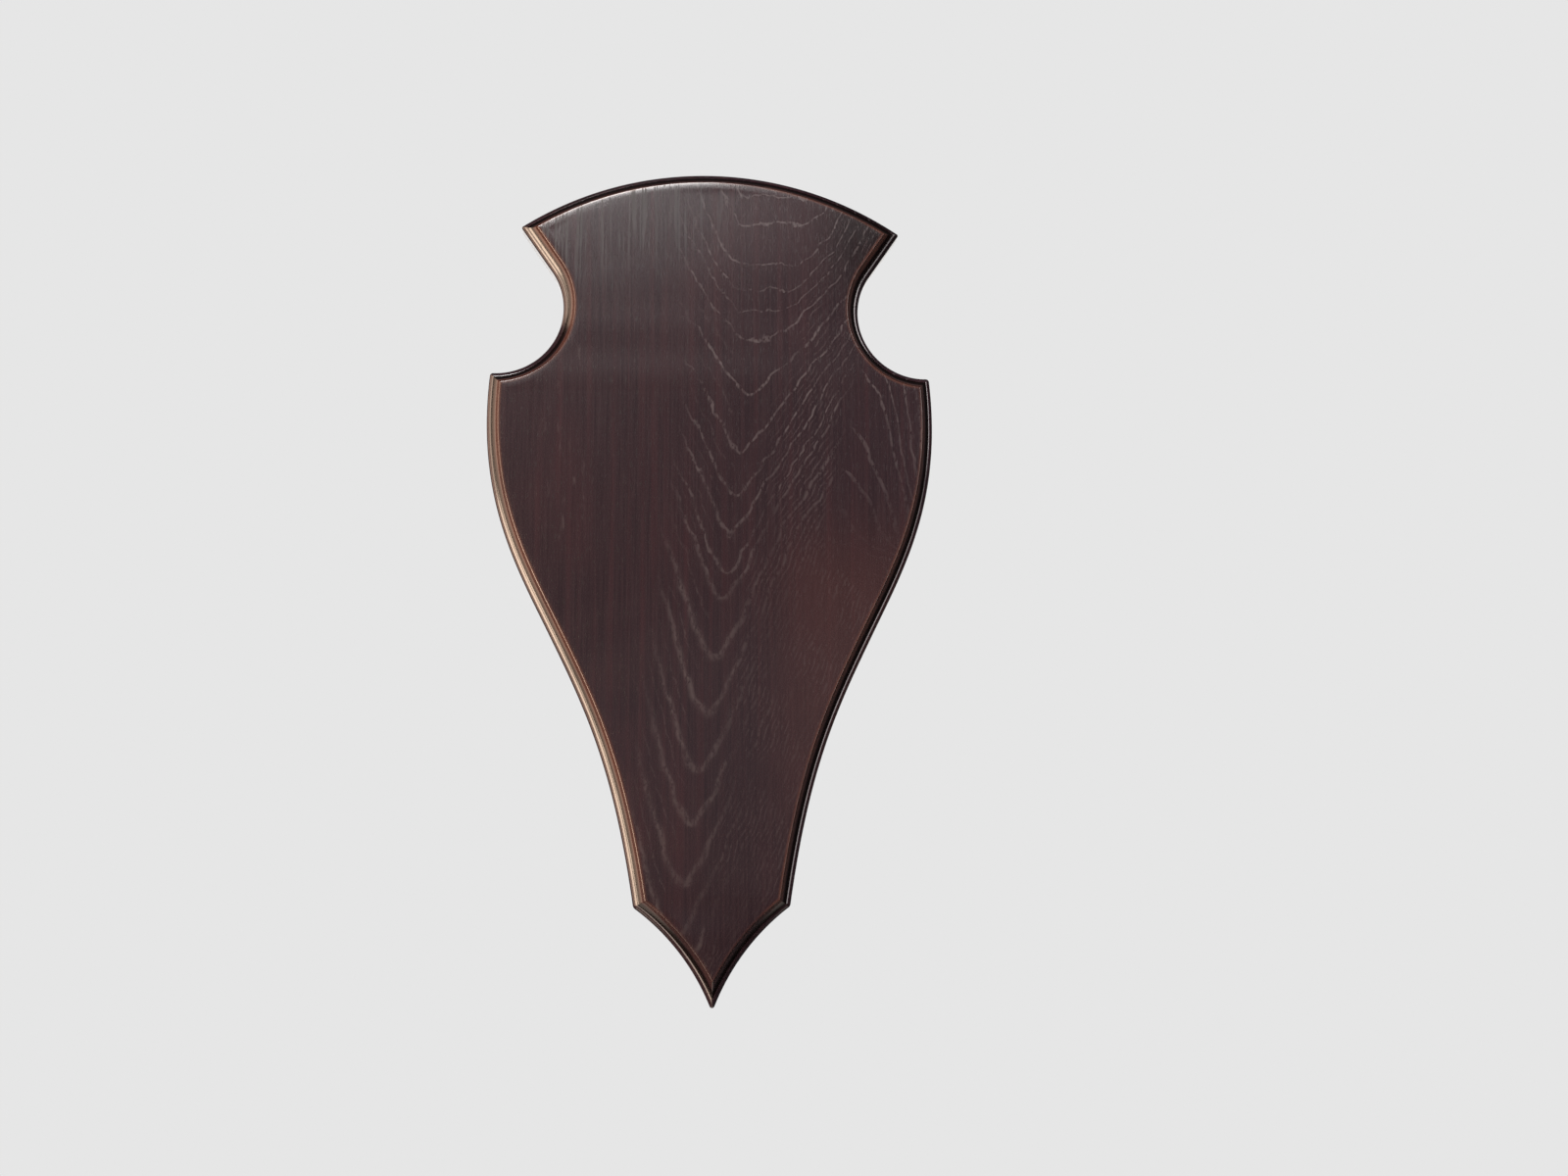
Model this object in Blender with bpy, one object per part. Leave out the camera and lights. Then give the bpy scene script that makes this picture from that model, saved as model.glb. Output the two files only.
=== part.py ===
"""Antler mounting plaque: a solid oak shield with a routed edge and a keyhole slot to hang it by.

Units are metres, +Z is up and the face looks along -Y. The origin is on the flat back, at the place
in the keyhole slot where the shank of the wall screw rests.
"""
from math import acos, asin, atan2, cos, pi, radians, sin

import bmesh
import bpy
import numpy as np

# Board
HEIGHT = 0.520
THICKNESS = 0.020
SCREW_REST_HEIGHT = 0.460  # above the bottom tip, on the board's centre line

# Outline of the right half, as half widths from the centre line and heights above the bottom tip
HORN_HALF_SPAN = 0.1201
HORN_HEIGHT = 0.4830
WAIST_HALF = 0.0931
WAIST_HEIGHT = 0.4307
NOTCH_UPPER_RADIUS = 0.0421
NOTCH_LOWER_RADIUS = 0.0422
SHOULDER_HALF = 0.1380
BEND_HALF = 0.1008
BEND_HEIGHT = 0.2269
HEEL_HALF = 0.0474
HEEL_HEIGHT = 0.0599
POINT_MEETING_HEIGHT = -0.0024  # where the point's two sides would meet if the tip weren't eased
POINT_SAGITTA = 0.0057

# Flank: slopes from the vertical, outward positive, and the pull of each curve's handles
SHOULDER_SLOPE = radians(6.1)
BEND_SLOPE = radians(-26.3)
HEEL_SLOPE = radians(-8.4)
BELLY_PULLS = (0.0768, 0.0466)
HOLLOW_PULLS = (0.0523, 0.0853)

# Radii that sanding leaves on the outline's corners, seen from the front
HORN_EASE = 0.0012
SHOULDER_EASE = 0.0022
HEEL_EASE = 0.0035
TIP_EASE = 0.0016
LEAST_EASE = 0.0005

# Moulding: an ogee. The side rolls over in a bead, a small step leads down into a cove, and the cove
# rises to the arris of the face. Bead and cove are parts of circles between the slopes given here.
BEAD_RADIUS = 0.0039
BEAD_TOP_SLOPE = radians(15)
STEP_WIDTH = 0.0001
STEP_DEPTH = 0.0002
COVE_RADIUS = 0.0090
COVE_FOOT_SLOPE = radians(28)
COVE_TOP_SLOPE = radians(74)
ARRIS_RADIUS = 0.0007
BACK_EASE = 0.0008
BEAD_STEPS = 5
COVE_STEPS = 5
ARRIS_STEPS = 3

# Keyhole slot, cut into the back
KEYHOLE_HEAD_RADIUS = 0.00635
KEYHOLE_NECK_RADIUS = 0.00325
KEYHOLE_DEPTH = 0.010
KEYHOLE_LIP = 0.004
KEYHOLE_TRAVEL = 0.016
KEYHOLE_OVERCUT = 0.002
KEYHOLE_ARC_FACETS = 10

# Facets along each stretch of the half outline, and along each eased corner
STRETCH_FACETS = (16, 24, 28, 10)
CORNER_FACETS = 3
CURVE_SAMPLES = 160

STAINED_OAK_COLOUR = (0.045, 0.026, 0.025, 1.0)
STAINED_OAK_ROUGHNESS = 0.38


def clear_scene():
    for old_object in list(bpy.data.objects):
        bpy.data.objects.remove(old_object, do_unlink=True)


def arc(centre, radius, start, end, facets=CURVE_SAMPLES):
    """Points on a circle, from one angle to another."""
    angles = np.linspace(start, end, facets + 1)
    return np.array(centre) + radius * np.column_stack((np.cos(angles), np.sin(angles)))


def bezier(start, start_handle, end_handle, end):
    t = np.linspace(0, 1, CURVE_SAMPLES + 1)[:, None]
    s = 1 - t
    return s ** 3 * start + 3 * s ** 2 * t * start_handle + 3 * s * t ** 2 * end_handle + t ** 3 * end


def downward(slope):
    """Unit step down the board, leaning outward by the slope."""
    return np.array((sin(slope), -cos(slope)))


def crown_stretch():
    """The shallow arch from the centre line to the horn tip."""
    drop = HEIGHT - HORN_HEIGHT
    radius = (HORN_HALF_SPAN ** 2 + drop ** 2) / (2 * drop)
    half_angle = asin(HORN_HALF_SPAN / radius)
    return arc((0, HEIGHT - radius), radius, pi / 2, pi / 2 - half_angle)


def notch_stretch():
    """The horn's straight side, then the bite, whose two arcs meet at the waist."""
    tip = np.array((HORN_HALF_SPAN, HORN_HEIGHT))
    upper = np.array((WAIST_HALF + NOTCH_UPPER_RADIUS, WAIST_HEIGHT))
    lower = np.array((WAIST_HALF + NOTCH_LOWER_RADIUS, WAIST_HEIGHT))
    reach = np.linalg.norm(upper - tip)
    swing = asin(NOTCH_UPPER_RADIUS / reach)
    side_angle = atan2(upper[1] - tip[1], upper[0] - tip[0]) - swing
    side_end = tip + reach * cos(swing) * np.array((cos(side_angle), sin(side_angle)))
    side = np.linspace(tip, side_end, CURVE_SAMPLES)
    touch = atan2(side_end[1] - upper[1], side_end[0] - upper[0])
    shoulder = acos((SHOULDER_HALF - lower[0]) / NOTCH_LOWER_RADIUS)
    above_waist = arc(upper, NOTCH_UPPER_RADIUS, touch, pi)
    below_waist = arc(lower, NOTCH_LOWER_RADIUS, pi, 2 * pi - shoulder)
    return np.vstack((side, above_waist[1:], below_waist[1:]))


def flank_stretch(shoulder):
    """The swelling belly and the hollow under it, from the shoulder to the heel."""
    bend = np.array((BEND_HALF, BEND_HEIGHT))
    heel = np.array((HEEL_HALF, HEEL_HEIGHT))
    belly = bezier(
        shoulder,
        shoulder + BELLY_PULLS[0] * downward(SHOULDER_SLOPE),
        bend - BELLY_PULLS[1] * downward(BEND_SLOPE),
        bend,
    )
    hollow = bezier(
        bend,
        bend + HOLLOW_PULLS[0] * downward(BEND_SLOPE),
        heel - HOLLOW_PULLS[1] * downward(HEEL_SLOPE),
        heel,
    )
    return np.vstack((belly, hollow[1:]))


def point_stretch():
    """The hollow side of the point, from the heel to the centre line."""
    heel = np.array((HEEL_HALF, HEEL_HEIGHT))
    meeting = np.array((0, POINT_MEETING_HEIGHT))
    chord = meeting - heel
    length = np.linalg.norm(chord)
    radius = (length ** 2 / 4 + POINT_SAGITTA ** 2) / (2 * POINT_SAGITTA)
    outward = np.array((-chord[1], chord[0])) / length
    centre = (heel + meeting) / 2 + outward * (radius - POINT_SAGITTA)
    start = atan2(heel[1] - centre[1], heel[0] - centre[0])
    end = atan2(meeting[1] - centre[1], meeting[0] - centre[0])
    if end < start:
        end += 2 * pi
    return arc(centre, radius, start, end)


def half_outline():
    """The stretches of the right half, clockwise from the crown, each with its inward normals."""
    notch = notch_stretch()
    stretches = []
    for points in (crown_stretch(), notch, flank_stretch(notch[-1]), point_stretch()):
        along = np.gradient(points, axis=0)
        along /= np.linalg.norm(along, axis=1)[:, None]
        inward = np.column_stack((along[:, 1], -along[:, 0]))
        stretches.append((points, inward))
    return stretches


def crossing(first, second):
    """Where two lines of points cross next to their shared corner, as a place along each."""
    p, dp = first[:-1, None], np.diff(first, axis=0)[:, None]
    q, dq = second[None, :-1], np.diff(second, axis=0)[None]
    gap = q - p
    spread = dp[..., 0] * dq[..., 1] - dp[..., 1] * dq[..., 0]
    spread[spread == 0] = 1e-30
    s = (gap[..., 0] * dq[..., 1] - gap[..., 1] * dq[..., 0]) / spread
    t = (gap[..., 0] * dp[..., 1] - gap[..., 1] * dp[..., 0]) / spread
    i, j = np.nonzero((s >= 0) & (s < 1) & (t >= 0) & (t < 1))
    return i[-1] + s[i[-1], j[-1]], j[-1] + t[i[-1], j[-1]]


def at_place(points, place):
    """The point at a whole or part place along a line of points."""
    places = np.arange(len(points))
    return np.array((np.interp(place, places, points[:, 0]), np.interp(place, places, points[:, 1])))


def evenly(points, start, end, facets):
    """The piece between two places along a line of points, as equal facets."""
    inner = points[int(start) + 1:int(np.ceil(end))]
    piece = np.vstack((at_place(points, start), inner, at_place(points, end)))
    reached = np.r_[0, np.cumsum(np.linalg.norm(np.diff(piece, axis=0), axis=1))]
    wanted = np.linspace(0, reached[-1], facets + 1)
    return np.column_stack((np.interp(wanted, reached, piece[:, 0]), np.interp(wanted, reached, piece[:, 1])))


def corner_arc(centre, start, end):
    """The points between two ends of an eased corner, without the ends."""
    radius = np.linalg.norm(start - centre)
    first = atan2(*(start - centre)[::-1])
    turn = (atan2(*(end - centre)[::-1]) - first + pi) % (2 * pi) - pi
    return arc(centre, radius, first, first + turn, CORNER_FACETS)[1:-1]


def outline_at(inset, stretches):
    """The whole outline moved inward, its corners eased, as rows of x and z from the origin."""
    starts = [0.0]
    ends = []
    centres = []
    for k, ease in enumerate((HORN_EASE, SHOULDER_EASE, HEEL_EASE)):
        to_centre = inset + max(ease - inset, LEAST_EASE)
        first, second = (points + inward * to_centre for points, inward in stretches[k:k + 2])
        end, start = crossing(first, second)
        ends.append(end)
        starts.append(start)
        centres.append(at_place(first, end))
    points, inward = stretches[-1]
    to_centre = inset + max(TIP_EASE - inset, LEAST_EASE)
    middle = points + inward * to_centre
    ends.append(np.interp(0, -middle[:, 0], np.arange(len(middle))))
    centres.append(at_place(middle, ends[-1]))

    right = []
    pieces = []
    for (points, inward), start, end, facets in zip(stretches, starts, ends, STRETCH_FACETS):
        pieces.append(evenly(points + inward * inset, start, end, facets))
    for k, piece in enumerate(pieces):
        right.append(piece)
        if k < len(pieces) - 1:
            right.append(corner_arc(centres[k], piece[-1], pieces[k + 1][0]))
    tip_right = pieces[-1][-1]
    tip_left = tip_right * (-1, 1)
    around_tip = corner_arc(centres[-1], tip_right, tip_left)
    right = np.vstack(right)
    left = right[:0:-1] * (-1, 1)
    return np.vstack((right, around_tip, left)) - (0, SCREW_REST_HEIGHT)


def edge_profile():
    """The section of the edge from the face to the back, as (inset, depth below the face)."""
    step_inset = BEAD_RADIUS * (1 - sin(BEAD_TOP_SLOPE)) + STEP_WIDTH
    cove_inset = step_inset + COVE_RADIUS * (sin(COVE_TOP_SLOPE) - sin(COVE_FOOT_SLOPE))
    face_inset = cove_inset + ARRIS_RADIUS * sin(COVE_TOP_SLOPE)
    arris_depth = ARRIS_RADIUS * (1 - cos(COVE_TOP_SLOPE))
    foot_depth = arris_depth + COVE_RADIUS * (cos(COVE_FOOT_SLOPE) - cos(COVE_TOP_SLOPE))
    bead_depth = foot_depth - STEP_DEPTH
    section = []
    for slope in np.linspace(0, COVE_TOP_SLOPE, ARRIS_STEPS + 1):
        section.append((face_inset - ARRIS_RADIUS * sin(slope), ARRIS_RADIUS * (1 - cos(slope))))
    for slope in np.linspace(COVE_TOP_SLOPE, COVE_FOOT_SLOPE, COVE_STEPS + 1)[1:]:
        inset = step_inset + COVE_RADIUS * (sin(slope) - sin(COVE_FOOT_SLOPE))
        section.append((inset, arris_depth + COVE_RADIUS * (cos(slope) - cos(COVE_TOP_SLOPE))))
    for slope in np.linspace(BEAD_TOP_SLOPE, pi / 2, BEAD_STEPS + 1):
        depth = bead_depth + BEAD_RADIUS * (cos(BEAD_TOP_SLOPE) - cos(slope))
        section.append((BEAD_RADIUS * (1 - sin(slope)), depth))
    section.append((0.0, THICKNESS - BACK_EASE))
    section.append((BACK_EASE, THICKNESS))
    return section


def new_object(name, build):
    mesh = bpy.data.meshes.new(name)
    builder = bmesh.new()
    build(builder)
    bmesh.ops.recalc_face_normals(builder, faces=builder.faces)
    builder.to_mesh(mesh)
    builder.free()
    made = bpy.data.objects.new(name, mesh)
    bpy.context.scene.collection.objects.link(made)
    return made


def bridge(builder, first, second):
    """A band of quads between two closed loops of the same number of vertices."""
    for i, vertex in enumerate(first):
        j = (i + 1) % len(first)
        builder.faces.new((vertex, first[j], second[j], second[i]))


def build_board(builder):
    stretches = half_outline()
    loops = []
    for inset, depth in edge_profile():
        y = depth - THICKNESS
        loops.append([builder.verts.new((x, y, z)) for x, z in outline_at(inset, stretches)])
    for first, second in zip(loops, loops[1:]):
        bridge(builder, first, second)
    builder.faces.new(loops[0])
    builder.faces.new(loops[-1])


def build_keyhole_cutter(builder):
    """Entry hole and slot in one closed shape: a narrow mouth over a wide room for the screw's head."""
    entry = (0.0, -KEYHOLE_TRAVEL)
    rest = (0.0, 0.0)
    facets = KEYHOLE_ARC_FACETS
    neck_start = acos(KEYHOLE_NECK_RADIUS / KEYHOLE_HEAD_RADIUS)
    bottom = arc(entry, KEYHOLE_HEAD_RADIUS, -pi, 0, facets)
    head = arc(rest, KEYHOLE_HEAD_RADIUS, 0, pi, facets)
    neck = np.vstack((
        arc(entry, KEYHOLE_HEAD_RADIUS, 0, neck_start, facets // 2)[1:],
        arc(rest, KEYHOLE_NECK_RADIUS, 0, pi, facets),
        arc(entry, KEYHOLE_HEAD_RADIUS, pi - neck_start, pi, facets // 2)[:-1],
    ))

    def row(points, y):
        return [builder.verts.new((x, y, z)) for x, z in points]

    floor_bottom = row(bottom, -KEYHOLE_DEPTH)
    floor_head = row(head, -KEYHOLE_DEPTH)
    lip_bottom = row(bottom, -KEYHOLE_LIP)
    lip_head = row(head, -KEYHOLE_LIP)
    lip_neck = row(neck, -KEYHOLE_LIP)
    mouth_bottom = row(bottom, KEYHOLE_OVERCUT)
    mouth_neck = row(neck, KEYHOLE_OVERCUT)
    bridge(builder, floor_bottom + floor_head, lip_bottom + lip_head)
    bridge(builder, lip_bottom + lip_neck, mouth_bottom + mouth_neck)
    builder.faces.new(floor_bottom + floor_head)
    builder.faces.new(mouth_bottom + mouth_neck)
    builder.faces.new([lip_bottom[-1]] + lip_head + [lip_bottom[0]] + lip_neck[::-1])


def stained_oak():
    material = bpy.data.materials.new("stained_oak")
    material.use_nodes = True
    shader = material.node_tree.nodes["Principled BSDF"]
    shader.inputs["Base Color"].default_value = STAINED_OAK_COLOUR
    shader.inputs["Roughness"].default_value = STAINED_OAK_ROUGHNESS
    shader.inputs["Metallic"].default_value = 0.0
    return material


def build_plaque():
    board = new_object("plaque_board", build_board)
    board.data.materials.append(stained_oak())
    board.data.shade_smooth()
    board.data.set_sharp_from_angle(angle=radians(35))

    cutter = new_object("keyhole_cutter", build_keyhole_cutter)
    cutter.hide_render = True
    cutter.display_type = "WIRE"

    keyhole = board.modifiers.new("keyhole", "BOOLEAN")
    keyhole.operation = "DIFFERENCE"
    keyhole.solver = "EXACT"
    keyhole.object = cutter


clear_scene()
build_plaque()
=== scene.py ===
"""Looks of the antler mounting plaque: a stained oak shield with a routed edge, in a studio.

Units are metres and +Z is up. The board's face looks along -Y and its flat back is at y = 0.
"""
from math import acos, asin, atan2, cos, pi, radians, sin
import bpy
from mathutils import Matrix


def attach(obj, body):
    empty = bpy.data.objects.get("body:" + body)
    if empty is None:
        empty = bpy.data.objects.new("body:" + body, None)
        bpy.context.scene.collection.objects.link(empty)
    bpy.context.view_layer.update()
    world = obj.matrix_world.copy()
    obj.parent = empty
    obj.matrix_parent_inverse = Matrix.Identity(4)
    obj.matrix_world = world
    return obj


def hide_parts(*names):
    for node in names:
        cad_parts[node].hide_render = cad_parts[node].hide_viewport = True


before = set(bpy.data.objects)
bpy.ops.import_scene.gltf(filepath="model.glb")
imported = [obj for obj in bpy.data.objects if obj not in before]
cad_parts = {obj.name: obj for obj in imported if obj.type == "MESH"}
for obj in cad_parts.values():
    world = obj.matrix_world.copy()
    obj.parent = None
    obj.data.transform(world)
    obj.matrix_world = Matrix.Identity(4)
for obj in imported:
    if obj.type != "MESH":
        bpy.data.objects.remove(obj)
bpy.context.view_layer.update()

from types import SimpleNamespace

import bmesh
import bpy
import numpy as np
from mathutils import Matrix, Vector
from mathutils.geometry import tessellate_polygon


# The board
# One solid oak board, sawn to a shield and sanded at its corners. A router cut the bead and cove of
# its edge and the keyhole slot in its back, and then it was stained dark and lacquered to a satin sheen.

HEIGHT = 0.520
THICKNESS = 0.020
SCREW_REST_HEIGHT = 0.460

HORN_HALF_SPAN = 0.1201
HORN_HEIGHT = 0.4830
WAIST_HALF = 0.0931
WAIST_HEIGHT = 0.4307
NOTCH_UPPER_RADIUS = 0.0421
NOTCH_LOWER_RADIUS = 0.0422
SHOULDER_HALF = 0.1380
BEND_HALF = 0.1008
BEND_HEIGHT = 0.2269
HEEL_HALF = 0.0474
HEEL_HEIGHT = 0.0599
POINT_MEETING_HEIGHT = -0.0024
POINT_SAGITTA = 0.0057
SHOULDER_SLOPE = radians(6.1)
BEND_SLOPE = radians(-26.3)
HEEL_SLOPE = radians(-8.4)
BELLY_PULLS = (0.0768, 0.0466)
HOLLOW_PULLS = (0.0523, 0.0853)

HORN_EASE = 0.0012
SHOULDER_EASE = 0.0022
HEEL_EASE = 0.0035
TIP_EASE = 0.0016
LEAST_EASE = 0.0004

BEAD_RADIUS = 0.0039
BEAD_TOP_SLOPE = radians(15)
STEP_WIDTH = 0.0001
STEP_DEPTH = 0.0002
COVE_RADIUS = 0.0090
COVE_FOOT_SLOPE = radians(28)
COVE_TOP_SLOPE = radians(74)
ARRIS_RADIUS = 0.0006
FACE_ROLL_WIDTH = 0.0042  # sanding rolls the face down by a hair towards its arris
FACE_ROLL_DEPTH = 0.00018
BACK_EASE = 0.0008
BACK_MARGIN = 0.0006  # a narrow flat band inside the eased edge, so that the back shades flat

STRETCH_FACETS = (125, 130, 360, 80)
CORNER_FACETS = 8
CURVE_SAMPLES = 500
BEAD_STEPS = 10
COVE_STEPS = 9
ARRIS_STEPS = 6
FACE_ROLL_STEPS = 7
BACK_STEPS = 3
SHARP_CORNER = radians(32)  # corners that turn by more than this are shaded sharp

HAND_WAVER = 0.00005  # the cutter rode up and down by this much along the edge
DRIFT_UP = 31.0  # the waves of that, in radians per metre, and where each starts
DRIFT_ACROSS = 83.0
TREMBLE = 190.0
TREMBLE_SHARE = 0.6
WAVE_STARTS = (2.1, 0.7, 1.3)

KEYHOLE_HEAD_RADIUS = 0.00635
KEYHOLE_NECK_RADIUS = 0.00325
KEYHOLE_DEPTH = 0.010
KEYHOLE_LIP = 0.004
KEYHOLE_TRAVEL = 0.016
KEYHOLE_ARC_FACETS = 28

NO_TURN = 1e-30  # stands in for zero where two lines are parallel


def arc(centre, radius, start, end, facets=CURVE_SAMPLES):
    """Points on a circle, from one angle to another."""
    angles = np.linspace(start, end, facets + 1)
    return np.array(centre) + radius * np.column_stack((np.cos(angles), np.sin(angles)))


def bezier(start, start_handle, end_handle, end):
    """Points on a curve that leaves its start and meets its end along the handles."""
    t = np.linspace(0, 1, CURVE_SAMPLES + 1)[:, None]
    s = 1 - t
    return s ** 3 * start + 3 * s ** 2 * t * start_handle + 3 * s * t ** 2 * end_handle + t ** 3 * end


def downward(slope):
    """Unit step down the board, leaning outward by the slope."""
    return np.array((sin(slope), -cos(slope)))


def crown_stretch():
    """The shallow arch from the centre line to the horn tip."""
    drop = HEIGHT - HORN_HEIGHT
    radius = (HORN_HALF_SPAN ** 2 + drop ** 2) / (2 * drop)
    half_angle = asin(HORN_HALF_SPAN / radius)
    return arc((0, HEIGHT - radius), radius, pi / 2, pi / 2 - half_angle)


def notch_stretch():
    """The horn's straight side, then the bite, whose two arcs meet at the waist."""
    tip = np.array((HORN_HALF_SPAN, HORN_HEIGHT))
    upper = np.array((WAIST_HALF + NOTCH_UPPER_RADIUS, WAIST_HEIGHT))
    lower = np.array((WAIST_HALF + NOTCH_LOWER_RADIUS, WAIST_HEIGHT))
    reach = np.linalg.norm(upper - tip)
    swing = asin(NOTCH_UPPER_RADIUS / reach)
    side_angle = atan2(upper[1] - tip[1], upper[0] - tip[0]) - swing
    side_end = tip + reach * cos(swing) * np.array((cos(side_angle), sin(side_angle)))
    side = np.linspace(tip, side_end, CURVE_SAMPLES)
    touch = atan2(side_end[1] - upper[1], side_end[0] - upper[0])
    shoulder = acos((SHOULDER_HALF - lower[0]) / NOTCH_LOWER_RADIUS)
    above_waist = arc(upper, NOTCH_UPPER_RADIUS, touch, pi)
    below_waist = arc(lower, NOTCH_LOWER_RADIUS, pi, 2 * pi - shoulder)
    return np.vstack((side, above_waist[1:], below_waist[1:]))


def flank_stretch(shoulder):
    """The swelling belly and the hollow under it, from the shoulder to the heel."""
    bend = np.array((BEND_HALF, BEND_HEIGHT))
    heel = np.array((HEEL_HALF, HEEL_HEIGHT))
    belly = bezier(
        shoulder,
        shoulder + BELLY_PULLS[0] * downward(SHOULDER_SLOPE),
        bend - BELLY_PULLS[1] * downward(BEND_SLOPE),
        bend,
    )
    hollow = bezier(
        bend,
        bend + HOLLOW_PULLS[0] * downward(BEND_SLOPE),
        heel - HOLLOW_PULLS[1] * downward(HEEL_SLOPE),
        heel,
    )
    return np.vstack((belly, hollow[1:]))


def point_stretch():
    """The hollow side of the point, from the heel to the centre line."""
    heel = np.array((HEEL_HALF, HEEL_HEIGHT))
    meeting = np.array((0, POINT_MEETING_HEIGHT))
    chord = meeting - heel
    length = np.linalg.norm(chord)
    radius = (length ** 2 / 4 + POINT_SAGITTA ** 2) / (2 * POINT_SAGITTA)
    outward = np.array((-chord[1], chord[0])) / length
    centre = (heel + meeting) / 2 + outward * (radius - POINT_SAGITTA)
    start = atan2(heel[1] - centre[1], heel[0] - centre[0])
    end = atan2(meeting[1] - centre[1], meeting[0] - centre[0])
    if end < start:
        end += 2 * pi
    return arc(centre, radius, start, end)


def half_outline():
    """The stretches of the right half, clockwise from the crown, each with its inward normals."""
    notch = notch_stretch()
    stretches = []
    for points in (crown_stretch(), notch, flank_stretch(notch[-1]), point_stretch()):
        along = np.gradient(points, axis=0)
        along /= np.linalg.norm(along, axis=1)[:, None]
        inward = np.column_stack((along[:, 1], -along[:, 0]))
        stretches.append((points, inward))
    return stretches


def crossing(first, second):
    """Where two lines of points cross next to their shared corner, as a place along each."""
    p, dp = first[:-1, None], np.diff(first, axis=0)[:, None]
    q, dq = second[None, :-1], np.diff(second, axis=0)[None]
    gap = q - p
    spread = dp[..., 0] * dq[..., 1] - dp[..., 1] * dq[..., 0]
    spread[spread == 0] = NO_TURN
    s = (gap[..., 0] * dq[..., 1] - gap[..., 1] * dq[..., 0]) / spread
    t = (gap[..., 0] * dp[..., 1] - gap[..., 1] * dp[..., 0]) / spread
    i, j = np.nonzero((s >= 0) & (s < 1) & (t >= 0) & (t < 1))
    return i[-1] + s[i[-1], j[-1]], j[-1] + t[i[-1], j[-1]]


def at_place(points, place):
    """The point at a whole or part place along a line of points."""
    places = np.arange(len(points))
    return np.array([np.interp(place, places, side) for side in points.T])


def evenly(points, start, end, facets):
    """The piece between two places along a line of points, as equal facets."""
    inner = points[int(start) + 1:int(np.ceil(end))]
    piece = np.vstack((at_place(points, start), inner, at_place(points, end)))
    reached = np.r_[0, np.cumsum(np.linalg.norm(np.diff(piece, axis=0), axis=1))]
    wanted = np.linspace(0, reached[-1], facets + 1)
    return np.column_stack([np.interp(wanted, reached, side) for side in piece.T])


def corner_arc(centre, start, end):
    """The points between two ends of an eased corner, without the ends."""
    radius = np.linalg.norm(start - centre)
    first = atan2(*(start - centre)[::-1])
    turn = (atan2(*(end - centre)[::-1]) - first + pi) % (2 * pi) - pi
    return arc(centre, radius, first, first + turn, CORNER_FACETS)[1:-1]


def outline_at(inset, stretches):
    """The whole outline moved inward, its corners eased, as rows of x and z from the origin."""
    starts = [0.0]
    ends = []
    centres = []
    for k, ease in enumerate((HORN_EASE, SHOULDER_EASE, HEEL_EASE)):
        to_centre = inset + max(ease - inset, LEAST_EASE)
        first, second = (points + inward * to_centre for points, inward in stretches[k:k + 2])
        end, start = crossing(first, second)
        ends.append(end)
        starts.append(start)
        centres.append(at_place(first, end))
    points, inward = stretches[-1]
    to_centre = inset + max(TIP_EASE - inset, LEAST_EASE)
    middle = points + inward * to_centre
    ends.append(np.interp(0, -middle[:, 0], np.arange(len(middle))))
    centres.append(at_place(middle, ends[-1]))

    right = []
    pieces = []
    for (points, inward), start, end, facets in zip(stretches, starts, ends, STRETCH_FACETS):
        pieces.append(evenly(points + inward * inset, start, end, facets))
    for k, piece in enumerate(pieces):
        right.append(piece)
        if k < len(pieces) - 1:
            right.append(corner_arc(centres[k], piece[-1], pieces[k + 1][0]))
    tip_right = pieces[-1][-1]
    tip_left = tip_right * (-1, 1)
    around_tip = corner_arc(centres[-1], tip_right, tip_left)
    right = np.vstack(right)
    left = right[:0:-1] * (-1, 1)
    return np.vstack((right, around_tip, left)) - (0, SCREW_REST_HEIGHT)


def edge_profile():
    """The section of the edge from the face to the back, as (inset, depth below the face)."""
    step_inset = BEAD_RADIUS * (1 - sin(BEAD_TOP_SLOPE)) + STEP_WIDTH
    cove_inset = step_inset + COVE_RADIUS * (sin(COVE_TOP_SLOPE) - sin(COVE_FOOT_SLOPE))
    face_inset = cove_inset + ARRIS_RADIUS * sin(COVE_TOP_SLOPE)
    arris_depth = ARRIS_RADIUS * (1 - cos(COVE_TOP_SLOPE)) + FACE_ROLL_DEPTH
    foot_depth = arris_depth + COVE_RADIUS * (cos(COVE_FOOT_SLOPE) - cos(COVE_TOP_SLOPE))
    bead_depth = foot_depth - STEP_DEPTH
    roll_slope = 2 * FACE_ROLL_DEPTH / FACE_ROLL_WIDTH
    section = []
    for part in np.linspace(-0.1, 1, FACE_ROLL_STEPS + 2):
        roll = FACE_ROLL_DEPTH * max(part, 0) ** 2
        section.append((face_inset + FACE_ROLL_WIDTH * (1 - part), roll))
    for slope in np.linspace(roll_slope, COVE_TOP_SLOPE, ARRIS_STEPS + 1)[1:]:
        depth = FACE_ROLL_DEPTH + ARRIS_RADIUS * (1 - cos(slope))
        section.append((face_inset - ARRIS_RADIUS * sin(slope), depth))
    for slope in np.linspace(COVE_TOP_SLOPE, COVE_FOOT_SLOPE, COVE_STEPS + 1)[1:]:
        inset = step_inset + COVE_RADIUS * (sin(slope) - sin(COVE_FOOT_SLOPE))
        section.append((inset, arris_depth + COVE_RADIUS * (cos(slope) - cos(COVE_TOP_SLOPE))))
    for slope in np.linspace(BEAD_TOP_SLOPE, pi / 2, BEAD_STEPS + 1):
        depth = bead_depth + BEAD_RADIUS * (cos(BEAD_TOP_SLOPE) - cos(slope))
        section.append((BEAD_RADIUS * (1 - sin(slope)), depth))
    for angle in np.linspace(0, pi / 2, BACK_STEPS + 1):
        section.append((BACK_EASE * (1 - cos(angle)), THICKNESS - BACK_EASE * (1 - sin(angle))))
    section.append((BACK_EASE + BACK_MARGIN, THICKNESS))
    return section


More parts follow.
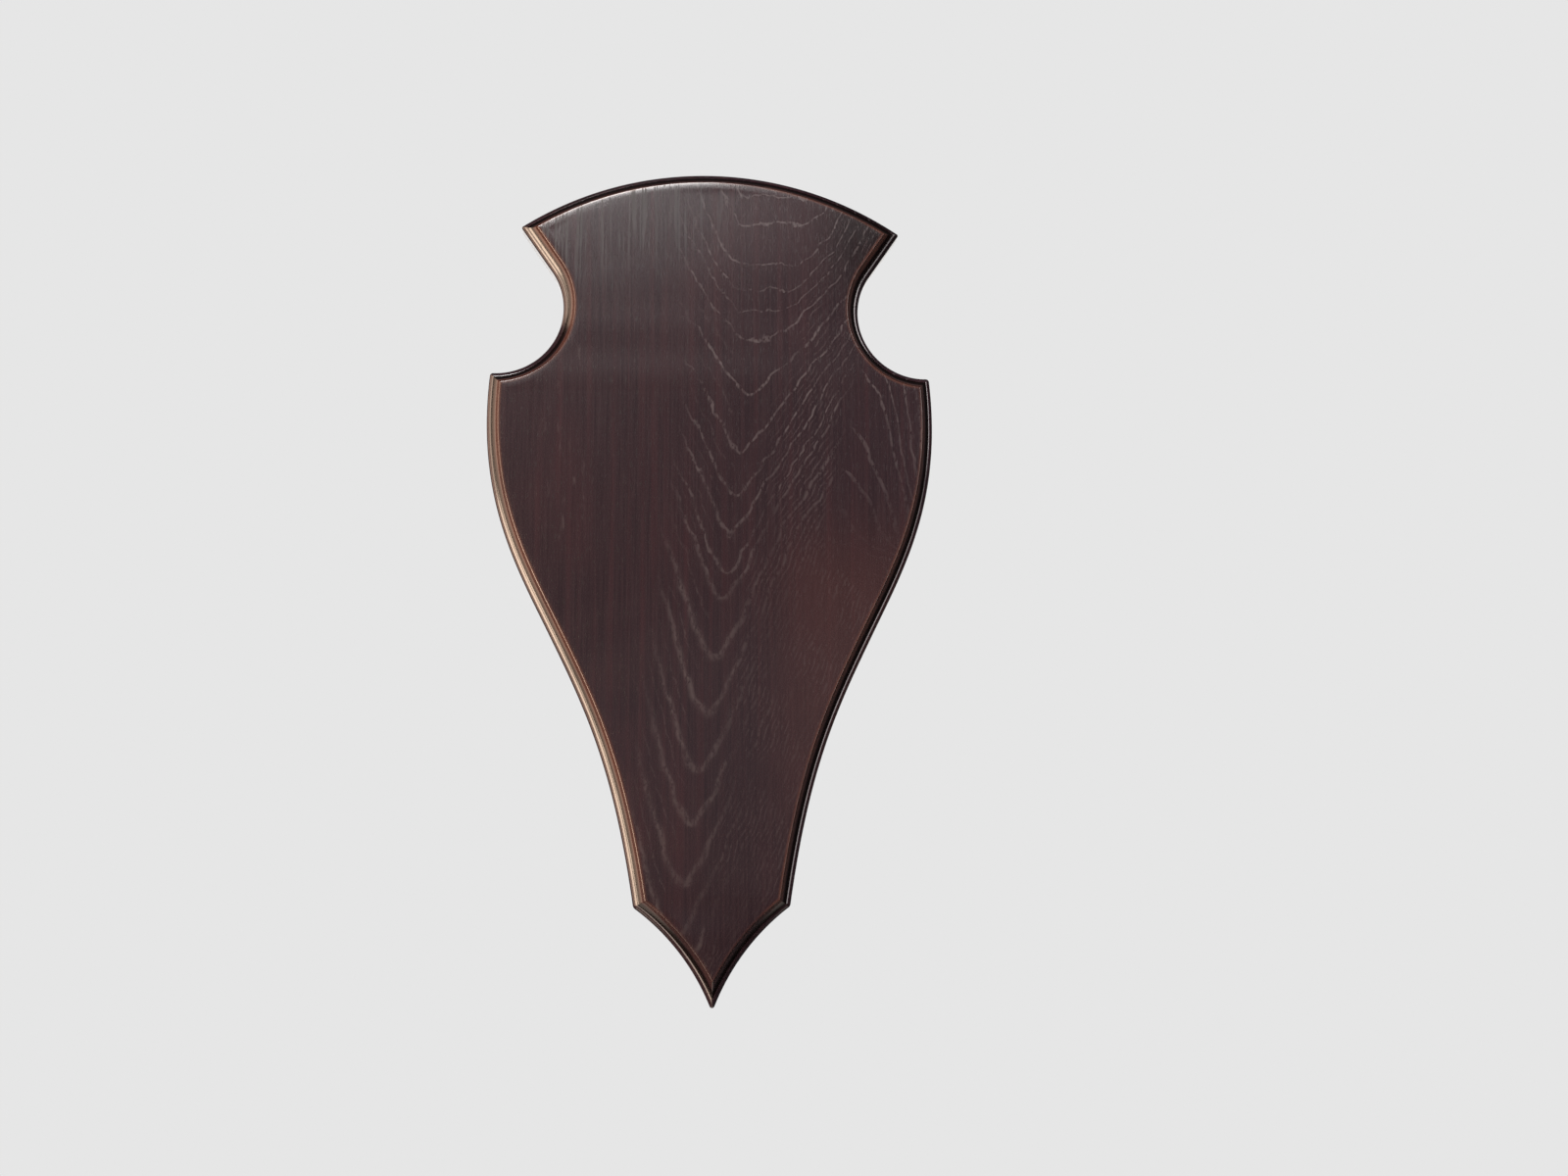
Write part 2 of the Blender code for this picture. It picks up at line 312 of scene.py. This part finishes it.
def bridge(builder, first, second):
    """A band of quads between two closed loops of the same number of vertices."""
    for i, vertex in enumerate(first):
        j = (i + 1) % len(first)
        builder.faces.new((vertex, first[j], second[j], second[i]))


def build_keyhole(builder):
    """The keyhole slot's walls, lip and floor. Returns the loop of its mouth in the back."""
    entry = (0.0, -KEYHOLE_TRAVEL)
    rest = (0.0, 0.0)
    facets = KEYHOLE_ARC_FACETS
    neck_start = acos(KEYHOLE_NECK_RADIUS / KEYHOLE_HEAD_RADIUS)
    bottom = arc(entry, KEYHOLE_HEAD_RADIUS, -pi, 0, facets)
    head = arc(rest, KEYHOLE_HEAD_RADIUS, 0, pi, facets)
    neck = np.vstack((
        arc(entry, KEYHOLE_HEAD_RADIUS, 0, neck_start, facets // 2)[1:],
        arc(rest, KEYHOLE_NECK_RADIUS, 0, pi, facets),
        arc(entry, KEYHOLE_HEAD_RADIUS, pi - neck_start, pi, facets // 2)[:-1],
    ))

    def row(points, y):
        return [builder.verts.new((x, y, z)) for x, z in points]

    floor_loop = row(bottom, -KEYHOLE_DEPTH) + row(head, -KEYHOLE_DEPTH)
    lip_bottom = row(bottom, -KEYHOLE_LIP)
    lip_head = row(head, -KEYHOLE_LIP)
    lip_neck = row(neck, -KEYHOLE_LIP)
    mouth = row(bottom, 0.0) + row(neck, 0.0)
    bridge(builder, floor_loop, lip_bottom + lip_head)
    bridge(builder, lip_bottom + lip_neck, mouth)
    builder.faces.new(floor_loop)
    builder.faces.new([lip_bottom[-1]] + lip_head + [lip_bottom[0]] + lip_neck[::-1])
    return mouth


def waver(points):
    """How the cutter rode up and down along the edge, as a share of the hand's waver."""
    x, z = points.T
    drift = np.sin(DRIFT_UP * z + WAVE_STARTS[0]) * np.sin(DRIFT_ACROSS * x + WAVE_STARTS[1])
    return drift + TREMBLE_SHARE * np.sin(TREMBLE * z + WAVE_STARTS[2])


def build_board(builder):
    """The whole board, each vertex marked with how far it lies inside the outline."""
    inset_layer = builder.verts.layers.float.new("inset")
    stretches = half_outline()
    loops = []
    for inset, depth in edge_profile():
        points = outline_at(inset, stretches)
        routed = 0 < depth < THICKNESS - BACK_EASE
        y = depth - THICKNESS + HAND_WAVER * waver(points) * routed
        loop = [builder.verts.new((x, deep, z)) for (x, z), deep in zip(points, y)]
        for vertex in loop:
            vertex[inset_layer] = inset
        loops.append(loop)
    for first, second in zip(loops, loops[1:]):
        bridge(builder, first, second)
    builder.faces.new(loops[0])
    mouth = build_keyhole(builder)
    back = loops[-1]
    for corners in tessellate_polygon([[v.co for v in back], [v.co for v in mouth]]):
        builder.faces.new([(back + mouth)[corner] for corner in corners])


def new_mesh(name, build):
    """An object in the scene, of the mesh that a build function makes."""
    mesh = bpy.data.meshes.new(name)
    builder = bmesh.new()
    build(builder)
    bmesh.ops.recalc_face_normals(builder, faces=builder.faces)
    builder.to_mesh(mesh)
    builder.free()
    made = bpy.data.objects.new(name, mesh)
    bpy.context.scene.collection.objects.link(made)
    return made


class Wire:
    """The output of a node in a material. Sums written with it become the material's maths nodes."""

    def __init__(self, tree, kind, settings, inputs, output=0):
        """Adds any node: its settings are set first, then its inputs, each a wire or a plain value."""
        made = tree.nodes.new(kind)
        for name, value in settings.items():
            if name == "stops":
                place_stops(made.color_ramp, value)
            else:
                setattr(made, name, value)
        for place, value in inputs.items():
            if isinstance(value, Wire):
                tree.links.new(value.socket, made.inputs[place])
            else:
                made.inputs[place].default_value = value
        self.tree = tree
        self.socket = made.outputs[output]

    def maths(self, operation, *values):
        """One of Blender's maths operations on wires and plain values."""
        return Wire(self.tree, "ShaderNodeMath", {"operation": operation}, dict(enumerate(values)))

    def __add__(self, other):
        return self.maths("ADD", self, other)

    def __sub__(self, other):
        return self.maths("SUBTRACT", self, other)

    def __rsub__(self, other):
        return self.maths("SUBTRACT", other, self)

    def __mul__(self, other):
        return self.maths("MULTIPLY", self, other)

    def __truediv__(self, other):
        return self.maths("DIVIDE", self, other)

    def __pow__(self, other):
        return self.maths("POWER", self, other)

    __radd__ = __add__
    __rmul__ = __mul__

    def at_least(self, other):
        return self.maths("MAXIMUM", self, other)

    def at_most(self, other):
        return self.maths("MINIMUM", self, other)

    def size(self):
        """The value without its sign."""
        return self.maths("ABSOLUTE", self)

    def past_whole(self):
        """How far the value lies past the whole number below it."""
        return self - self.maths("FLOOR", self)

    def ramp(self, low, high, start=0.0, end=1.0):
        """From start to end, eased, as this value goes from low to high."""
        settings = {"interpolation_type": "SMOOTHSTEP"}
        inputs = {0: self, 1: low, 2: high, 3: start, 4: end}
        return Wire(self.tree, "ShaderNodeMapRange", settings, inputs)

    def mix(self, first, second):
        """From the first colour to the second as this value goes from 0 to 1."""
        inputs = {0: self, 6: first, 7: second}
        return Wire(self.tree, "ShaderNodeMix", {"data_type": "RGBA"}, inputs, output=2)

    def part(self, axis):
        """This place's x, y or z."""
        return Wire(self.tree, "ShaderNodeSeparateXYZ", {}, {0: self}, output=axis)

    def noise(self, stretch, detail=2.0, roughness=0.5):
        """Soft noise from 0 to 1 at this place. The stretch is its cells per metre along x, y and z."""
        settings = {"operation": "MULTIPLY"}
        scaled = Wire(self.tree, "ShaderNodeVectorMath", settings, {0: self, 1: stretch})
        inputs = {"Vector": scaled, "Scale": 1.0, "Detail": detail, "Roughness": roughness}
        return Wire(self.tree, "ShaderNodeTexNoise", {"noise_dimensions": "3D"}, inputs)


def place_stops(ramp, stops):
    """Sets a new ramp's stops, each a position and a grey level, the first at 0 and the last at 1."""
    for position, _ in stops[1:-1]:
        ramp.elements.new(position)
    for element, (position, level) in zip(ramp.elements, stops):
        element.position = position
        element.color = (level, level, level, 1)


MM = 1000  # the wood is worked out in mm, across the board and up from the screw

RING_TIPS = (
    43.0, 25.0, -0.8, -18.0, -31.5, -48.7, -85.6, -122.4, -150.7, -172.8,
    -196.8, -212.7, -251.4, -283.4, -319.0, -349.8, -384.8, -418.0, -450.0,
)  # heights where the growth rings' tips lie on the face, from the top down
OUTER_RING_STEP = 30.0  # between the tips of the rings that would lie off the board
RING_SPACING = 28.0  # between two rings where they lie level, for the width of their lines
RING_SHIFT = 6.0  # how far the rings move up for each mm into the board

# The heart of the figure leans to the right going up. The rings hang from it as pointed arches
# upside down. Near the top their tips are flat, and low down the arches are narrow. Far to the
# right they bend down again beyond a ridge, which runs out of the board's side lower down.
HEART_X = 36.0
HEART_LEAN = 0.14
RIDGE_X = 105.0
RIDGE_LEAN = 0.2
RIDGE_SHIFT = 70.0
RIDGE_BARE = 7.0  # no pores show this near to the ridge
FLAT_TIP = 18.0  # half the width of a flat tip
TIP_ROUNDING = 10.0
TIP_ROUNDING_LOW = 8.0
NARROW_ROUNDING = 8.0
LEFT_SLOPE = 1.9
LEFT_SLOPE_LOW = 2.5
WIDE_SLOPE = 0.6
WIDE_BEND = 0.030  # how fast the wide arches steepen to the right
WIDE_BEND_POINTED = 0.018
NARROW_SLOPE = 3.4
FALL_SLOPE = 0.65
FALL_BEND = 0.034

# Heights between which the figure goes from one form to the next
TIPS_FLATTEN = (-95.0, 10.0)
TIPS_POINTED = (-40.0, -80.0)
LOW_DOWN = (-60.0, -240.0)
ARCHES_NARROW = (-95.0, -190.0)
RIDGE_RUNS_OUT = (-170.0, -250.0)

# How far the rings wander, across and up, and the slanting line right of which they run calm
SLOW_WANDER = (5.0, 10.0)
QUICK_WANDER = (3.0, 5.0)
CALM_X = 45.0
CALM_LEAN = 0.16

# Open pores lie below the crown's arris, whose height falls with the square of the distance from
# the middle. Pale flakes lie in an upright band at the left.
CROWN_HEIGHT = 55.0
CROWN_FALL = 0.0026
OPEN_PORES_REACH = 70.0
FLAKES_X = -85.0

# The colours of the bare stained wood, before the lacquer. Two of them are also used as painted shade:
# the pore colour on the right horn, and the near-black colour in the cove.
OAK_DARK = (0.0110, 0.0058, 0.0085, 1)
OAK_WARM = (0.0175, 0.0095, 0.0125, 1)
OAK_RED = (0.0260, 0.0100, 0.0130, 1)
# the pores' colour, also used for painted shade on the right horn
OAK_PORE_AND_SHADE = (0.0035, 0.0018, 0.0022, 1)
OAK_CHALKY = (0.0400, 0.0300, 0.0330, 1)
OAK_REDDER_FLANK = (0.0380, 0.0160, 0.0160, 1)
OLD_POLISH = (0.0620, 0.0500, 0.0540, 1)
WORN_ARRIS = (0.0600, 0.0245, 0.0180, 1)
# near black: stain gathered in the cove, darkened further as painted shade
POOLED_STAIN_AND_SHADE = (0.0022, 0.0007, 0.0006, 1)

LACQUER = 0.5
LACQUER_ROUGHNESS = 0.15
ROUTED_ROUGHNESS = 0.17
SANDED_ROUGHNESS = 0.25
PORE_DEPTH = 0.00005
PORE_STRENGTH = 0.3


def ring_number(tip):
    """Counts the growth rings from the top one, as a value that is whole where a ring's line lies."""
    top = RING_TIPS[0]
    bottom = RING_TIPS[-1]
    last = len(RING_TIPS) - 1
    stops = [((top - height) / (top - bottom), k / last) for k, height in enumerate(RING_TIPS)]
    way_down = (top - tip) / (top - bottom)
    counted = Wire(tip.tree, "ShaderNodeValToRGB", {"stops": stops}, {0: way_down})
    above = (tip - top).at_least(0.0) / OUTER_RING_STEP
    below = (bottom - tip).at_least(0.0) / OUTER_RING_STEP
    return counted * last + below - above


def rounded(distance, rounding):
    """The distance, with its corner at zero rounded off like a hyperbola's."""
    return (distance * distance + rounding * rounding) ** 0.5


def ring_figure(x, z, depth):
    """The rings' count and spacing at a place, and where the place lies in the figure."""
    heart = HEART_X + HEART_LEAN * z
    flat = z.ramp(*TIPS_FLATTEN, 0.0, FLAT_TIP)
    ridge = RIDGE_X + RIDGE_LEAN * z + z.ramp(*RIDGE_RUNS_OUT, 0.0, RIDGE_SHIFT)
    low = z.ramp(*LOW_DOWN)
    narrowed = z.ramp(*ARCHES_NARROW)
    pointed = z.ramp(*TIPS_POINTED)
    to_right = (x.at_most(ridge) - heart - flat).at_least(0.0)
    to_left = (heart - flat - x).at_least(0.0)
    past_ridge = (x - ridge).at_least(0.0)

    rounding = TIP_ROUNDING + (TIP_ROUNDING_LOW - TIP_ROUNDING) * low
    slope_left = LEFT_SLOPE + (LEFT_SLOPE_LOW - LEFT_SLOPE) * low
    reach_left = rounded(to_left, rounding)
    rise_left = slope_left * (reach_left - rounding)

    slope_at_tip = WIDE_SLOPE * (1 + pointed)
    bend_wide = WIDE_BEND + (WIDE_BEND_POINTED - WIDE_BEND) * pointed
    rise_wide = (slope_at_tip + bend_wide * to_right) * to_right
    slope_wide = slope_at_tip + 2 * bend_wide * to_right
    reach_right = rounded(to_right, NARROW_ROUNDING)
    rise_narrow = NARROW_SLOPE * (reach_right - NARROW_ROUNDING)
    slope_narrow = NARROW_SLOPE * to_right / reach_right
    rise_right = rise_wide + narrowed * (rise_narrow - rise_wide)
    slope_right = slope_wide + narrowed * (slope_narrow - slope_wide)

    fall = (FALL_SLOPE + FALL_BEND * past_ridge) * past_ridge
    slope_fall = FALL_SLOPE + 2 * FALL_BEND * past_ridge
    slope = slope_left * to_left / reach_left + slope_right * to_right.ramp(0.0, 3.0)
    slope = slope - past_ridge.ramp(0.0, 5.0) * (slope_right + slope_fall)
    return SimpleNamespace(
        ring=ring_number(z - rise_left - rise_right + fall - RING_SHIFT * depth),
        spacing=RING_SPACING * (1 + slope * slope) ** -0.5,
        low=low,
        narrowed=narrowed,
        to_left=to_left,
        to_right=to_right,
        past_ridge=past_ridge,
        off_ridge=(x - ridge).size().ramp(0.0, RIDGE_BARE),
    )


def ring_lines(figure, count, near, far):
    """1 on each of so many lines per ring, fading to 0 between two distances across the line."""
    within = (figure.ring * count).past_whole()
    distance = within.at_most(1 - within) * figure.spacing / count
    return distance.ramp(near, far, 1.0, 0.0)


def pore_rows(place, figure, patchy):
    """The rows of open pores that hold a chalky film of old polish: on each ring's line, around it,
    close and fine in the fan on the right, and between the rings on the left."""
    low = figure.low
    dots = place.noise((620, 620, 250), detail=3, roughness=0.7).ramp(0.40, 0.58)
    shown = figure.to_left.ramp(22.0, 46.0, 1.0, 0.0)
    line = ring_lines(figure, 1, 0.25 + 0.20 * low, 0.95 + 0.85 * low)
    line = line * dots * patchy.ramp(0.30, 0.60, 0.45, 1.0) * shown * figure.off_ridge
    line = line * (1 - figure.narrowed * figure.to_right.ramp(12.0, 26.0, 0.0, 0.8))
    glow = ring_lines(figure, 1, 0.4, 3.2) * shown * figure.to_right.ramp(10.0, 20.0, 1.0, 0.0) * low
    in_fan = figure.to_right.ramp(6.0, 22.0) * figure.past_ridge.ramp(0.0, 3.0, 1.0, 0.0)
    in_fan = in_fan * figure.off_ridge
    fan = ring_lines(figure, 3, 0.15, 0.55) * dots * patchy.ramp(0.34, 0.62, 0.15, 1.0) * in_fan
    between = ring_lines(figure, 2, 0.15, 0.60) * dots * figure.to_left.ramp(3.0, 14.0) * shown
    return line, glow, fan, between


def stained_oak():
    """Oak under a dark stain and satin lacquer, glossier where the cutter ran. Its cove is darker,
    from stain that gathered there and from painted shade.
    """
    material = bpy.data.materials.new("stained_oak")
    material.use_nodes = True
    tree = material.node_tree
    shader = tree.nodes["Principled BSDF"]
    place = Wire(tree, "ShaderNodeTexCoord", {}, {}, output="Object")
    inset = Wire(tree, "ShaderNodeAttribute", {"attribute_name": "inset"}, {}, output="Fac") * MM
    across = place.part("X") * MM
    height = place.part("Z") * MM
    depth = place.part("Y") * MM + THICKNESS * MM

    # The rings wander, less so low down and towards the fan
    slow_across = place.noise((80, 80, 50), detail=1)
    slow_up = place.noise((50, 60, 90), detail=1)
    quick = place.noise((210, 210, 110), detail=3, roughness=0.6)
    calm = (across - CALM_X - CALM_LEAN * height).ramp(0.0, 30.0, 1.0, 0.35)
    calm = calm * height.ramp(-120.0, -300.0, 1.0, 0.45)
    x = across + (slow_across - 0.5) * SLOW_WANDER[0] + (quick - 0.5) * QUICK_WANDER[0] * calm
    z = height + (slow_up - 0.5) * SLOW_WANDER[1] + (quick - 0.5) * QUICK_WANDER[1] * calm
    figure = ring_figure(x, z, depth)
    patchy = place.noise((42, 42, 24))
    line, glow, fan, between = pore_rows(place, figure, patchy)

    # The grain between the rings, straight at the left of the board
    fibres = place.noise((900, 900, 16), detail=4, roughness=0.6)
    streaks = place.noise((200, 200, 4))
    blotch = place.noise((22, 22, 9))
    straight = figure.to_left.ramp(14.0, 34.0)
    pores = place.noise((1400, 1400, 150), detail=3, roughness=0.65)
    dark_pores = pores.ramp(0.56, 0.68)
    pale_pores = pores.ramp(0.42, 0.30) * patchy.ramp(0.36, 0.62, 0.3, 1.0)
    from_flakes = (across - FLAKES_X).size()
    flakes = place.noise((260, 260, 45), detail=3, roughness=0.6).ramp(0.60, 0.72)
    flakes = flakes * from_flakes.ramp(8.0, 30.0, 1.0, 0.0) * blotch.ramp(0.4, 0.6)

    # Long pores that stayed open under the crown's left half, and so break its sheen
    below_crown = CROWN_HEIGHT - CROWN_FALL * across * across - height
    open_pores = place.noise((640, 640, 13), detail=2, roughness=0.6).ramp(0.54, 0.63)
    open_pores = open_pores * below_crown.ramp(0.0, OPEN_PORES_REACH, 1.0, 0.0)
    open_pores = open_pores * across.ramp(20.0, -30.0)

    # The right horn is darkened by painted shade, and the right flank is lighter and redder.
    # The stain wore off the arris around the face, less so on the point. The cove is darkened by
    # stain that gathered in it and by painted shade.
    # painted shade: the face darkens towards the right horn
    shaded_horn = across.ramp(45.0, 105.0) * height.ramp(-50.0, 20.0)
    # lighter and redder on the lower right flank
    redder_flank = across.ramp(15.0, 80.0) * height.ramp(-140.0, -215.0) * height.ramp(-420.0, -320.0)
    worn = inset.ramp(4.7, 6.6) * inset.ramp(9.6, 7.6) * patchy.ramp(0.30, 0.60, 0.6, 1.0)
    worn = worn * height.ramp(-410.0, -392.0, 0.35, 1.0)
    # painted shade in the cove, with stain gathered there
    pooled_stain_and_shade = inset.ramp(2.7, 3.2) * inset.ramp(5.7, 4.7)

    stain = fibres.ramp(0.3, 0.7).mix(OAK_DARK, OAK_WARM)
    for where, strength, colour in (
        (streaks.ramp(0.45, 0.75), 0.5, OAK_RED),
        (blotch.ramp(0.45, 0.75), 0.35, OAK_RED),
        (dark_pores, 0.25 + 0.35 * straight, OAK_PORE_AND_SHADE),
        (pale_pores, 0.10 + 0.25 * straight, OAK_CHALKY),
        (open_pores, 0.8, OAK_PORE_AND_SHADE),
        (glow, 0.17, OAK_CHALKY),
        (redder_flank, 0.45, OAK_REDDER_FLANK),
        # painted shade on the right horn
        (shaded_horn, 0.75, OAK_PORE_AND_SHADE),
        (fan, 0.44 - 0.20 * figure.low, OLD_POLISH),
        (between, 0.20, OLD_POLISH),
        (line, 0.64 - 0.44 * figure.low, OLD_POLISH),
        (flakes, 0.5, OAK_CHALKY),
        (worn, 0.9, WORN_ARRIS),
        # the cove: gathered stain and painted shade
        (pooled_stain_and_shade, 0.95, POOLED_STAIN_AND_SHADE),
    ):
        stain = (where * strength).mix(stain, colour)
    tree.links.new(stain.socket, shader.inputs["Base Color"])

    # The router's cut shows less grain than the sanded face
    on_face = inset.ramp(7.0, 9.0, 0.2, 1.0)
    gloss = inset.ramp(6.5, 8.5, ROUTED_ROUGHNESS, SANDED_ROUGHNESS)
    gloss = gloss + (0.04 * fibres + 0.10 * dark_pores + 0.10 * line + 0.25 * open_pores) * on_face
    tree.links.new(gloss.socket, shader.inputs["Roughness"])
    # The lacquer is thinner on the open pores, and on the right horn, where it reflects less as painted
    # shade
    coat = LACQUER - 0.35 * open_pores - 0.45 * shaded_horn
    tree.links.new(coat.socket, shader.inputs["Coat Weight"])
    shader.inputs["Coat Roughness"].default_value = LACQUER_ROUGHNESS
    relief = 1 - (0.8 * dark_pores + 0.3 * fibres + 0.3 * line + 1.5 * open_pores) * on_face
    bump_inputs = {"Strength": PORE_STRENGTH, "Distance": PORE_DEPTH, "Height": relief}
    bump = Wire(tree, "ShaderNodeBump", {}, bump_inputs)
    tree.links.new(bump.socket, shader.inputs["Normal"])
    return material


board = new_mesh("stained_oak_board", build_board)
board.data.shade_smooth()
board.data.set_sharp_from_angle(angle=SHARP_CORNER)
board.data.materials.append(stained_oak())
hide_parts("plaque_board")
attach(board, "root")


# The studio floor
# A small round stage painted a pale matt grey, a good metre under the hanging board. It is too
# small to shine on the underside of the board's edge, which stays dark.

FLOOR_DROP = 1.1
FLOOR_RADIUS = 1.1
FLOOR_FACETS = 96
FLOOR_GREY = (0.79, 0.79, 0.79, 1)
FLOOR_ROUGHNESS = 0.9


def build_floor(builder):
    bmesh.ops.create_circle(builder, cap_ends=True, segments=FLOOR_FACETS, radius=FLOOR_RADIUS)


floor = new_mesh("studio_floor", build_floor)
floor.location = (0, 0, -SCREW_REST_HEIGHT - FLOOR_DROP)
floor_paint = bpy.data.materials.new("pale_floor")
floor_paint.use_nodes = True
floor_shader = floor_paint.node_tree.nodes["Principled BSDF"]
floor_shader.inputs["Base Color"].default_value = FLOOR_GREY
floor_shader.inputs["Roughness"].default_value = FLOOR_ROUGHNESS
floor.data.materials.append(floor_paint)


# The studio's air
# Pale paper all round for the camera. It also shines on the board from behind, and the room in
# front of the board is nearly dark, so that the board's edges catch a pale line against dark coves.

PAPER = 0.7913
PAPER_WHITE = (1, 1, 1, 1)
BACK_SHINE = 0.05
ROOM_SHADE = 0.010
ROOM_ENDS = -0.30  # how far back a direction points where the room's shade starts to lift
BACK_STARTS = 0.15

world = bpy.data.worlds.new("studio")
bpy.context.scene.world = world
world.use_nodes = True
air = world.node_tree
background = air.nodes["Background"]
backward = Wire(air, "ShaderNodeTexCoord", {}, {}, output="Generated").part("Y")
seen = Wire(air, "ShaderNodeLightPath", {}, {}, output="Is Camera Ray")
shade = backward.ramp(ROOM_ENDS, BACK_STARTS, ROOM_SHADE, BACK_SHINE)
brightness = seen * PAPER + (1 - seen) * shade
air.links.new(brightness.socket, background.inputs["Strength"])
background.inputs["Color"].default_value = PAPER_WHITE


# The lamps
# A large warm soft box at the left with a stronger lamp in it and a warm screen beside it, one high
# in front for the sheen near the top, weaker ones at the right and low down, a faint bluish screen
# in front, and a dim wide one that shows the back. Each looks at the middle of the board.

BOARD_MIDDLE = Vector((0, -THICKNESS, -0.2))
WARM = (1.0, 0.74, 0.55)
AMBER = (1.0, 0.66, 0.48)
PEACH = (1.0, 0.80, 0.68)
WHITE = (1.0, 0.99, 0.98)
BLUISH = (0.88, 1.0, 1.08)
ROSY = (1.0, 0.92, 0.92)
CREAM = (1.0, 0.97, 0.94)


def soft_box(name, azimuth, elevation, distance, width, height, shine, colour):
    """A soft box that faces the middle of the board from an azimuth, in degrees to the right of the
    front, and an elevation. Its shine is its brightness seen directly."""
    lamp_data = bpy.data.lights.new(name, "AREA")
    lamp_data.shape = "RECTANGLE"
    lamp_data.size = width
    lamp_data.size_y = height
    lamp_data.energy = shine * pi * width * height
    lamp_data.color = colour
    lamp = bpy.data.objects.new(name, lamp_data)
    bpy.context.scene.collection.objects.link(lamp)
    flat_reach = distance * cos(radians(elevation))
    reach = Vector((
        flat_reach * sin(radians(azimuth)),
        -flat_reach * cos(radians(azimuth)),
        distance * sin(radians(elevation)),
    ))
    lamp.location = BOARD_MIDDLE + reach
    lamp.rotation_euler = reach.to_track_quat("Z", "Y").to_euler()
    lamp.visible_camera = False


soft_box("left_box", -50, -2, 1.5, 1.06, 1.80, 5.4, WARM)
soft_box("left_lamp", -51, -8, 1.45, 1.00, 0.48, 10.0, WARM)
soft_box("side_screen", -92, 6, 1.6, 1.00, 1.7, 2.4, AMBER)
soft_box("low_lamp", -38, -37, 1.5, 0.50, 0.24, 5.0, PEACH)
soft_box("high_box", -12, 47, 1.5, 0.56, 0.54, 23.0, WHITE)
soft_box("front_screen", 6, -2, 1.7, 0.90, 0.42, 0.17, BLUISH)
soft_box("right_box", 47, 24, 1.5, 0.40, 0.75, 9.0, ROSY)
soft_box("right_screen", 46, -8, 1.6, 0.38, 0.80, 4.5, ROSY)
soft_box("back_screen", 180, 12, 1.7, 2.60, 1.40, 1.3, CREAM)


# The camera
# It stands below the board's middle and a little to its left, and looks slightly up.

CAMERA_PLACE = (-0.038, -1.04, -0.347)
CAMERA_TURN = radians(4.600)
CAMERA_RISE = radians(7.787)
CAMERA_ROLL = radians(-0.370)
CAMERA_LENS = 38.555
CAMERA_SENSOR = 36.0

camera_data = bpy.data.cameras.new("camera")
camera_data.lens = CAMERA_LENS
camera_data.sensor_width = CAMERA_SENSOR
camera_data.sensor_fit = "HORIZONTAL"
camera = bpy.data.objects.new("camera", camera_data)
bpy.context.scene.collection.objects.link(camera)
camera.matrix_world = (
    Matrix.Translation(CAMERA_PLACE)
    @ Matrix.Rotation(-CAMERA_TURN, 4, "Z")
    @ Matrix.Rotation(pi / 2 + CAMERA_RISE, 4, "X")
    @ Matrix.Rotation(CAMERA_ROLL, 4, "Z")
)
bpy.context.scene.camera = camera
bpy.context.scene.view_settings.view_transform = "Standard"
